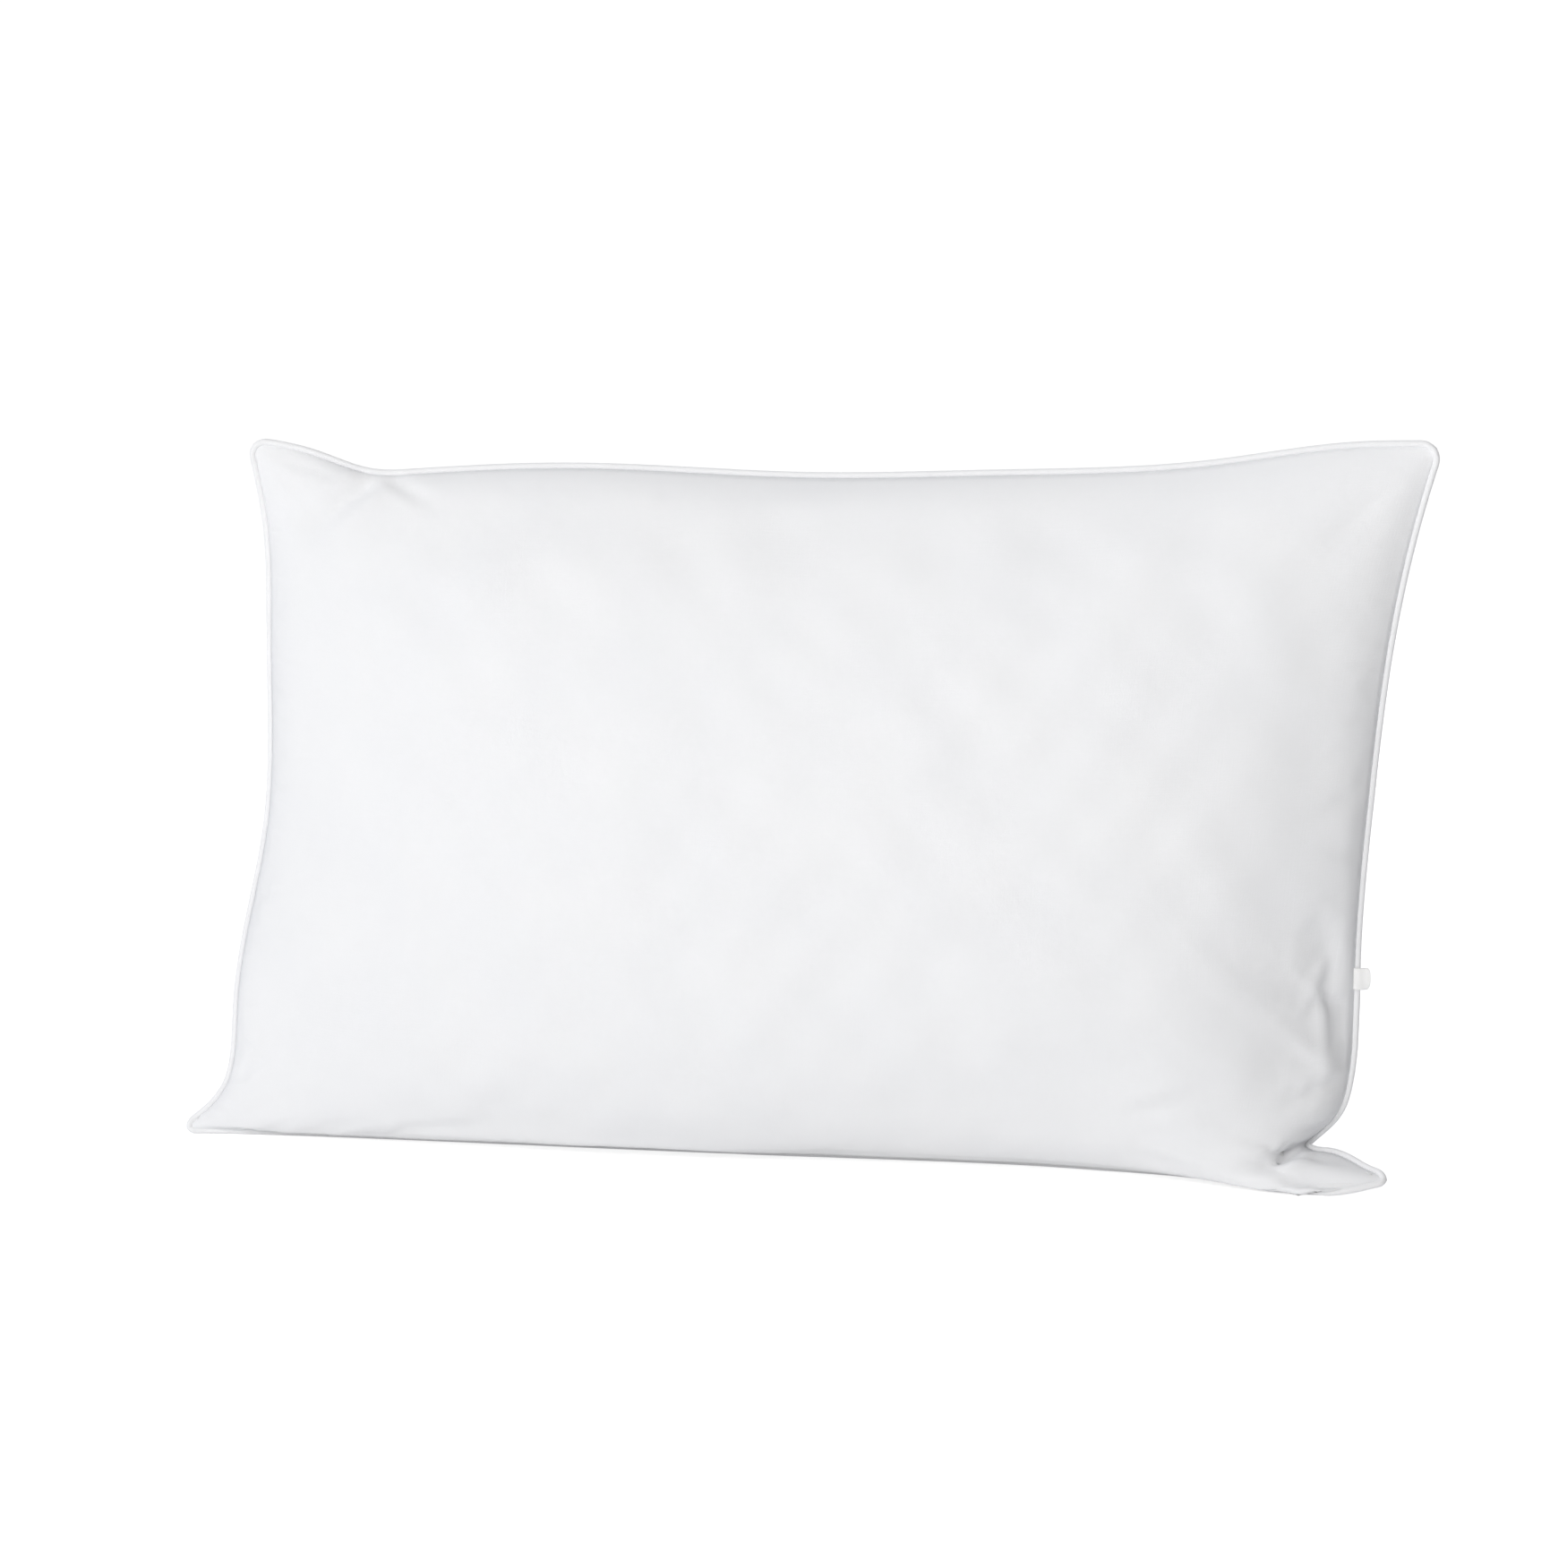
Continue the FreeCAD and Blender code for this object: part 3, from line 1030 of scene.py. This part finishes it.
@dataclass
class Ring:
    """The sewn line round the pillow, with the directions of its section at every point."""

    points: np.ndarray
    along: np.ndarray
    out: np.ndarray
    across: np.ndarray

    @classmethod
    def around(cls, shown: dict[Side, np.ndarray]) -> "Ring":
        """Ring on the shared rim of the two panels.

        Out points away from the cloth's middle five cells in, which lies level in a flat ear.  Along
        the foot, where that middle hangs beside the seam, a small part of the seam's own outward
        direction, the Y axis crossed with the line, decides.  Across is along x out, to the back.

        Args:
            shown: Outer points of both panels.

        Returns:
            The ring, with one point for each point of the rim.
        """
        cells, foot_share, reach = 5, 0.004, 4
        middle = (shown[Side.FRONT] + shown[Side.BACK]) / 2.0
        columns, rows = middle.shape[:2]
        i, j = np.meshgrid(np.arange(columns), np.arange(rows), indexing="ij")
        points = rim_grid(middle)
        i, j = np.clip(i, cells, columns - 1 - cells), np.clip(j, cells, rows - 1 - cells)
        inner = rim_grid(middle[i, j])
        along = unit(np.roll(points, -1, axis=0) - np.roll(points, 1, axis=0))
        along = unit(smooth_ring(along, 1))
        square = unit(np.cross([0.0, 1.0, 0.0], along))
        out = smooth_ring(points - inner + foot_share * square, reach)
        out = unit(out - along * np.sum(out * along, axis=-1, keepdims=True))
        return cls(points, along, out, np.cross(along, out))

    def dense(self, step: float) -> "Ring":
        """The same ring read at even steps of about the given length.

        Args:
            step: Length of a step, in metres.

        Returns:
            A new ring.
        """
        closed = np.concatenate([self.points, self.points[:1]])
        length = run_along(closed)
        at = np.linspace(0.0, length[-1], round(length[-1] / step), endpoint=False)

        def read(rows: np.ndarray) -> np.ndarray:
            """Rows of the ring, read in line between its points."""
            return read_line(at, length, np.concatenate([rows, rows[:1]]))

        parts = (read(self.points), unit(read(self.along)), unit(read(self.out)), unit(read(self.across)))
        return Ring(*parts)

    def inset(self, distance: float, lift: float) -> np.ndarray:
        """Points the given distance inside the seam, held at least lift above the floor.

        Args:
            distance: How far inside, in metres.
            lift: Least height above the floor.

        Returns:
            One point for each point of the ring.
        """
        moved = self.points - self.out * distance
        moved[:, 2] = np.maximum(moved[:, 2], lift)
        return moved

    def part(self, keep: np.ndarray) -> "Ring":
        """The stretch of the ring that the mask keeps."""
        return Ring(self.points[keep], self.along[keep], self.out[keep], self.across[keep])


@dataclass
class Piping:
    """Bead of fabric wrapped round a filler cord and sewn into the seam by its two tails."""

    ring: Ring
    bead: float = 0.0040
    proud: float = 0.0007
    wall: float = 0.0004
    tail: float = 0.0075
    clearance: float = 0.0003
    lay: float = 0.006
    step: float = 0.0015

    def centre(self, ring: Ring) -> np.ndarray:
        """Line of the bead's middle, a little outside the seam and never through the floor."""
        return ring.inset(-self.proud, self.bead / 2.0 + FLOOR_GAP)

    def wrap(self) -> np.ndarray:
        """Outline of the tape's section: a ribbon up one tail, round the cord and down the other.

        Returns:
            Closed outline, (out, across) in metres.
        """
        radius = (self.bead - self.wall) / 2.0
        turn = np.radians(np.linspace(170.0, -170.0, 19))
        loop = radius * np.stack([np.cos(turn), np.sin(turn)], axis=-1)
        reach = np.linspace(self.tail + self.proud, radius + 0.0006, 4)
        flat = np.full_like(reach, self.wall * 0.55)
        line = np.concatenate([np.stack([-reach, flat], -1), loop, np.stack([-reach[::-1], -flat], -1)])
        normal = unit(np.gradient(line, axis=0))[:, ::-1] * [1.0, -1.0] * self.wall / 2.0
        return np.concatenate([line - normal, (line + normal)[::-1]])

    def build(self) -> list[bpy.types.Object]:
        """Sweep the tape, and a three-strand cord: its radius times 0.9 + 0.1 cos 3(angle - lay).

        Returns:
            The tape and the cord.
        """
        tape = solid("piping_cover", *sweep(self.centre(self.ring), self.ring.out, self.ring.across,
                                            self.wrap(), True))
        tape.data.materials.append(PIPING_CLOTH.made())
        ring = self.ring.dense(self.step)
        radius = self.bead / 2.0 - self.wall - self.clearance
        turn = np.linspace(0.0, 2.0 * np.pi, 12, endpoint=False)[None]
        lays = round(len(ring.points) * self.step / self.lay)
        twist = np.linspace(0.0, 2.0 * np.pi * lays, len(ring.points), endpoint=False)[:, None]
        size = radius * (0.9 + 0.1 * np.cos(3.0 * (turn - twist)))
        strand = np.stack([size * np.cos(turn), size * np.sin(turn)], axis=-1)
        cord = solid("piping_filler_cord", *sweep(self.centre(ring), ring.out, ring.across, strand, True))
        cord.data.materials.append(CORD_YARN.made())
        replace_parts(tape, "piping_tape")
        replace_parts(cord, "piping_cord")
        return [tape, cord]


@dataclass
class Stitching:
    """Threads inside the seam: the lockstitch, the closing stitch and the overlocked edge."""

    ring: Ring
    thread: float = 0.0005
    inset: float = 0.0030
    closing: float = 0.0055
    stitch: float = 0.0030
    edge: float = 0.0075
    swing: float = 0.0004
    step: float = 0.0006
    loop: float = 0.0010
    loop_pitch: float = 0.0032
    loop_points: float = 9.0
    loop_thread: float = 0.00018

    def seam(self, name: str, ring: Ring, distance: float, closed: bool) -> bpy.types.Object:
        """Line of lockstitch: a thread that swings from face to face once a stitch, as a sine.

        Args:
            name: Name of the piece.
            ring: Stretch of the seam that it follows.
            distance: How far inside the seam it runs.
            closed: Whether it goes all the way round.

        Returns:
            The thread, still without its finish.
        """
        line = ring.inset(distance, 0.001)
        wave = np.sin(np.arange(len(line)) * 2.0 * np.pi * self.step / self.stitch)[:, None]
        line = line + ring.across * wave * self.swing
        return solid(name, *sweep(line, ring.out, ring.across, circle(self.thread / 2.0, 6), closed))

    def overlock(self) -> bpy.types.Object:
        """Coil of thread round the raw edges: a helix of the given loop and pitch.

        Returns:
            The thread, still without its finish.
        """
        ring = self.ring.dense(self.loop_pitch / self.loop_points)
        line = ring.inset(self.edge, self.loop + 0.0006)
        count = len(line)
        turns = round(count / self.loop_points)
        angle = (np.arange(count) * 2.0 * np.pi * turns / count)[:, None]
        spoke = ring.out * np.cos(angle) + ring.across * np.sin(angle)
        coil = line + spoke * self.loop
        way = unit(np.roll(coil, -1, axis=0) - np.roll(coil, 1, axis=0))
        out = unit(spoke - way * np.sum(spoke * way, axis=-1, keepdims=True))
        section = circle(self.loop_thread, 4)
        return solid("overlock_stitches", *sweep(coil, out, np.cross(way, out), section, True))

    def build(self) -> list[bpy.types.Object]:
        """Make the three threads; the closing stitch spans the gap that the filling went in by.

        Returns:
            The three threads.
        """
        ring = self.ring.dense(self.step)
        low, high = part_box("closing_thread")
        keep = (ring.points[:, 0] > 0.2) & (ring.points[:, 2] > low[2]) & (ring.points[:, 2] < high[2])
        made = {
            "seam_thread": self.seam("seam_stitches", ring, self.inset, True),
            "closing_thread": self.seam("closing_stitches", ring.part(keep), self.closing, False),
            "overlock_thread": self.overlock(),
        }
        for node, piece in made.items():
            piece.data.materials.append(SEWING_THREAD.made())
            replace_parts(piece, node)
        return list(made.values())


@dataclass
class Filling:
    """The stuffing: the space inside the panels, a little clear of the cloth and the seam."""

    shown: dict[Side, np.ndarray]
    cloth: np.ndarray
    clear: float = 0.0022
    margin: float = 0.013

    def build(self) -> bpy.types.Object:
        """Move both faces in along their normals and join them by a strip clear of the seam.

        No point moves further than 0.4 of the gap between the faces, so they never cross.

        Returns:
            The finished piece.
        """
        half = (self.cloth[-1, -1] + self.cloth[0, 0]) / 2.0
        column, row = (count // 2 for count in self.cloth.shape[:2])
        along = np.abs(self.cloth[:, row, 0] - half[0]) < half[0] - self.margin
        up = np.abs(self.cloth[column, :, 1] - half[1]) < half[1] - self.margin
        pick = np.ix_(np.flatnonzero(along)[::2], np.flatnonzero(up)[::2])
        gap = np.linalg.norm(self.shown[Side.FRONT] - self.shown[Side.BACK], axis=-1)[pick]
        inset = np.minimum(self.clear, 0.4 * gap)[..., None]
        inward = {side: grid_normals(self.shown[side])[pick] * side.value for side in Side}
        skins = [self.shown[side][pick] + inward[side] * inset for side in Side]
        index = np.arange(gap.size).reshape(gap.shape)
        quads = [grid_quads(index), grid_quads(index + gap.size)[:, ::-1],
                 join_rims(rim_of(index), rim_of(index) + gap.size)[:, ::-1]]
        points = np.concatenate([skin.reshape(-1, 3) for skin in skins])
        piece = solid("fibre_filling", points, np.concatenate(quads))
        piece.data.materials.append(FIBRE.made())
        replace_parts(piece, "fibre_fill")
        return piece


@dataclass
class CareLabel:
    """Blank folded ribbon, sewn into the right side seam and led out round the piping."""

    ring: Ring
    width: float = 0.014
    ribbon: float = 0.00025
    gap: float = 0.0002
    reach: float = 0.0080
    raised: float = 0.009

    def section(self) -> np.ndarray:
        """Outline of the ribbon across the seam: out beside the bead, a tight fold, and back.

        Returns:
            Closed outline, (out, across) in metres.
        """
        near = 0.00235
        way = np.array([(-6.0, -0.65), (-3.2, -0.75), (-1.6, -1.7), (0.0, -2.45), (1.2, -2.7), (3.0, -2.5),
                        (5.0, -1.9), (7.4, -1.5), (self.reach / MM, -1.3)]) * MM
        knots = np.linspace(0.0, 1.0, len(way))
        line = spline_at(knots, way, np.linspace(0.0, 1.0, 25))
        line[:, 1] = np.where(np.abs(line[:, 0] - 0.0012) < near, np.minimum(line[:, 1], -0.0021), line[:, 1])
        side = unit(np.gradient(line, axis=0))[:, ::-1] * [-1.0, 1.0]
        half = (self.gap + self.ribbon) / 2.0
        turn = np.linspace(-np.pi / 2, np.pi / 2, 7)[1:-1, None]
        fold = line[-1] + half * (np.cos(turn) * side[-1][::-1] * [1, -1] + np.sin(turn) * side[-1])
        path = np.concatenate([line - side * half, fold, (line + side * half)[::-1]])
        normal = unit(np.gradient(path, axis=0))[:, ::-1] * [-1.0, 1.0] * self.ribbon / 2.0
        return np.concatenate([path - normal, (path + normal)[::-1]])

    def build(self) -> bpy.types.Object:
        """Sweep the section up the seam for the ribbon's width; its free end curls a little.

        Returns:
            The finished piece.
        """
        low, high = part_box("care_label")
        level = (low[2] + high[2]) / 2.0 + self.raised
        ring = self.ring.dense(0.001)
        right = ring.points[:, 0] > 0.2
        keep = right & (np.abs(ring.points[:, 2] - level) < self.width / 2.0)
        ring = ring.part(keep)
        outline = self.section()
        rise = np.linspace(-1.0, 1.0, len(ring.points))[:, None]
        free = ease((outline[:, 0] - 0.003) / 0.008)[None]
        curl = free * (0.0010 * rise**2 - 0.0006 * rise - 0.0012)
        out, across = outline[None, :, 0], outline[None, :, 1]
        shaped = np.stack([out - 0.0022 * free * rise**4, across + curl], axis=-1)
        piece = solid("care_label_ribbon", *sweep(ring.points, ring.out, ring.across, shaped, False))
        piece.data.materials.append(LABEL_RIBBON.made())
        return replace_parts(piece, "care_label")


@dataclass
class Pillow:
    """The whole pillow: case, piping, stitching, filling and label."""

    case: Case = field(default_factory=Case)

    def build(self) -> list[bpy.types.Object]:
        """Blow up the case, then build every other piece on it.

        Returns:
            All the finished pieces.
        """
        cloth, shown = self.case.faces()
        ring = Ring.around(shown)
        made = [self.case.panel(side, cloth, shown[side]) for side in Side]
        made += Piping(ring).build()
        made += Stitching(ring).build()
        made.append(Filling(shown, cloth).build())
        made.append(CareLabel(ring).build())
        for piece in made:
            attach(piece, "root")
            LOG.info("%s: %d faces", piece.name, len(piece.data.polygons))
        return made


# ---------------------------------------------------------------- the studio


@dataclass
class Studio:
    """White floor and surroundings, a large soft light in front, a weak one behind, and the camera."""

    azimuth: float = 10.5
    elevation: float = 7.2
    distance: float = 2.2
    aim: tuple[float, float, float] = (-0.0054, 0.0, 0.2224)
    lens: float = 86.14
    glow: float = 0.60
    key: float = 66.0
    rear: float = 20.0
    ambient: float = 1.03

    def floor(self) -> bpy.types.Object:
        """Level white floor.  Its faint glow keeps it clean and pale but hardly lights the cloth.

        Returns:
            The floor.
        """
        mesh = bpy.data.meshes.new("studio_floor")
        mesh.from_pydata([(-9, -9, 0), (9, -9, 0), (9, 9, 0), (-9, 9, 0)], [], [(0, 1, 2, 3)])
        floor = bpy.data.objects.new("studio_floor", mesh)
        bpy.context.scene.collection.objects.link(floor)
        material = bpy.data.materials.new("studio_white")
        material.use_nodes = True
        bench = Bench(material.node_tree)
        seen = bench.node("ShaderNodeLightPath", output="Is Camera Ray")
        shine = bench.blend(seen, (0.20, 0.20, 0.20, 1.0), (1.0, 1.0, 1.0, 1.0))
        inputs = {"Base Color": (0.9, 0.9, 0.9, 1.0), "Roughness": 0.9, "Specular IOR Level": 0.0,
                  "Emission Color": shine, "Emission Strength": self.glow}
        bench.surface(bench.node("ShaderNodeBsdfPrincipled", {}, inputs))
        mesh.materials.append(material)
        return floor

    def surroundings(self) -> None:
        """Light brightest from behind and from the left, and dim from the right; plain white to see."""
        world = bpy.data.worlds.new("studio_white_room")
        bpy.context.scene.world = world
        world.use_nodes = True
        bench = Bench(world.node_tree)
        across, back, up = bench.split(bench.node("ShaderNodeTexCoord", output="Generated"))
        share = (back * 0.45 + up * 0.25 - across * 0.8) * 0.5 + 0.5
        stops = [
            (0.15, (0.09, 0.085, 0.08, 1.0)), (0.42, (0.16, 0.155, 0.15, 1.0)),
            (0.60, (0.74, 0.745, 0.76, 1.0)), (0.75, (0.84, 0.85, 0.87, 1.0)),
            (0.97, (0.30, 0.33, 0.38, 1.0)),
        ]
        shade = bench.node("ShaderNodeValToRGB", {"stops": stops}, {0: share})
        seen = bench.node("ShaderNodeLightPath", output="Is Camera Ray")
        plain = bench.blend(seen, shade, (1.0, 1.0, 1.0, 1.0))
        light = bench.node("ShaderNodeBackground", {}, {"Color": plain, "Strength": self.ambient})
        end = bench.tree.nodes.new("ShaderNodeOutputWorld")
        bench.tree.links.new(light.socket, end.inputs["Surface"])

    def lamp(self, name: str, place: tuple[float, float, float], size: float, power: float,
             shade: tuple[float, float, float]) -> None:
        """A square soft light that faces the pillow.

        Args:
            name: Name of the lamp.
            place: Where it stands, in metres.
            size: Length of its side.
            power: Power in watts.
            shade: Colour of its light.
        """
        light = bpy.data.lights.new(name, "AREA")
        light.energy, light.size, light.color = power, size, shade
        lamp = bpy.data.objects.new(name, light)
        lamp.location = place
        lamp.rotation_euler = (Vector((0.0, 0.0, 0.2)) - lamp.location).to_track_quat("-Z", "Y").to_euler()
        bpy.context.scene.collection.objects.link(lamp)

    def camera(self) -> None:
        """Camera on its arm round the pillow, level and without depth of field."""
        turn, rise = math.radians(self.azimuth), math.radians(self.elevation)
        arm = Vector((math.sin(turn) * math.cos(rise), -math.cos(turn) * math.cos(rise), math.sin(rise)))
        data = bpy.data.cameras.new("camera")
        data.sensor_width, data.lens = 36.0, self.lens
        camera = bpy.data.objects.new("camera", data)
        camera.location = Vector(self.aim) + arm * self.distance
        camera.rotation_euler = (-arm).to_track_quat("-Z", "Y").to_euler()
        bpy.context.scene.collection.objects.link(camera)
        bpy.context.scene.camera = camera

    def build(self) -> None:
        """Set up the whole studio."""
        self.camera()
        self.floor()
        self.surroundings()
        self.lamp("key_light", (-0.30, -3.35, 1.6), 1.8, self.key, (1.0, 0.99, 0.97))
        self.lamp("back_light", (-0.9, 3.4, 1.8), 1.6, self.rear, (0.97, 0.985, 1.0))
        bpy.context.scene.view_settings.view_transform = "Standard"


def main() -> None:
    """Build the studio and the pillow."""
    logging.basicConfig(level=logging.INFO, format="%(name)s: %(message)s")
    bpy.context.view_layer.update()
    Studio().build()
    Pillow().build()


if __name__ == "__main__":
    main()
